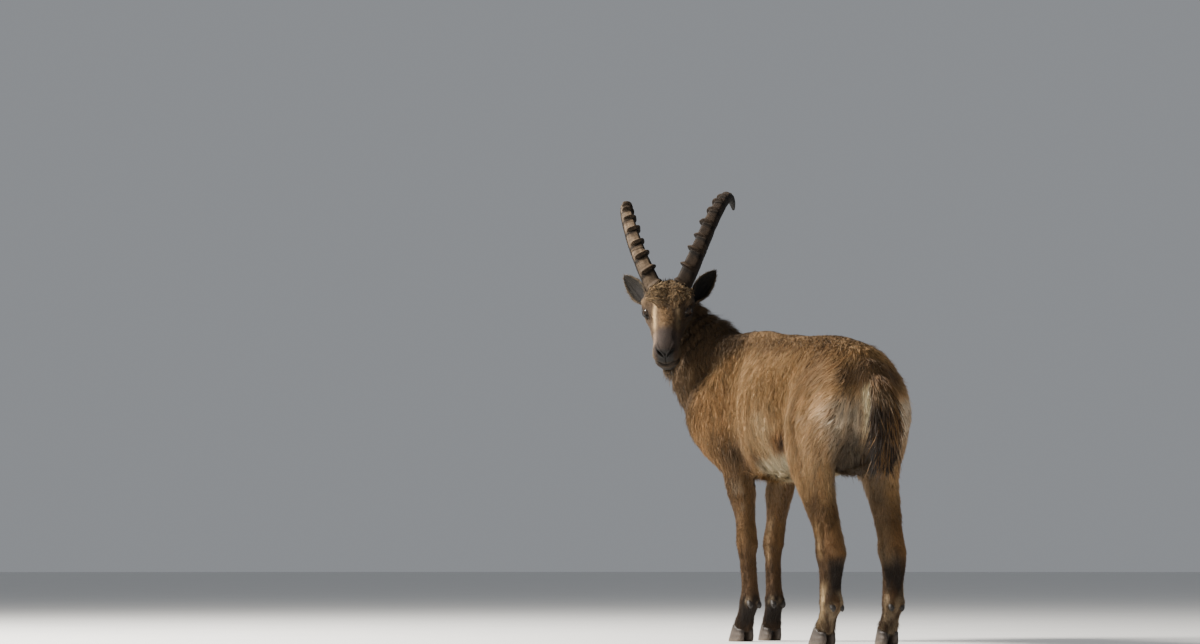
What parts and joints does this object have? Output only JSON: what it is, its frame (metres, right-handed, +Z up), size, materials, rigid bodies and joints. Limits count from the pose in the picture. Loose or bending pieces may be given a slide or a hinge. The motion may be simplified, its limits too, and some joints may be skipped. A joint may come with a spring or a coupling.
{
  "type": "alpine ibex",
  "caption": "Young adult male alpine ibex with ridged backswept horns, standing and looking back over its left shoulder.",
  "frame": {"origin": "on the floor, below the middle of the bounding box", "axes": "+X the way the body points, +Y the animal's left side, +Z up"},
  "size_m": [1.3102, 0.4208, 1.258],
  "materials": {
    "coat": "short dense hair, golden brown, darker on the legs and neck, cream on the belly",
    "tail_hair": "long dark brown hair",
    "eye": "wet gloss",
    "horn": "ridged dark horn, worn paler between the ridges",
    "hoof": "dull dark hoof"
  },
  "bodies": {
    "root": {"head": "coat", "neck": "coat", "trunk": "coat", "tail": "tail_hair", "eye_left": "eye", "eye_right": "eye", "ear_left": "coat", "ear_right": "coat", "horn_left": "horn", "horn_right": "horn", "fore_left_upper": "coat", "fore_left_cannon": "coat", "fore_left_claw_a": "hoof", "fore_left_claw_b": "hoof", "fore_right_upper": "coat", "fore_right_cannon": "coat", "fore_right_claw_a": "hoof", "fore_right_claw_b": "hoof", "hind_left_thigh": "coat", "hind_left_cannon": "coat", "hind_left_claw_a": "hoof", "hind_left_claw_b": "hoof", "hind_right_thigh": "coat", "hind_right_cannon": "coat", "hind_right_claw_a": "hoof", "hind_right_claw_b": "hoof"}
  },
  "joints": []
}
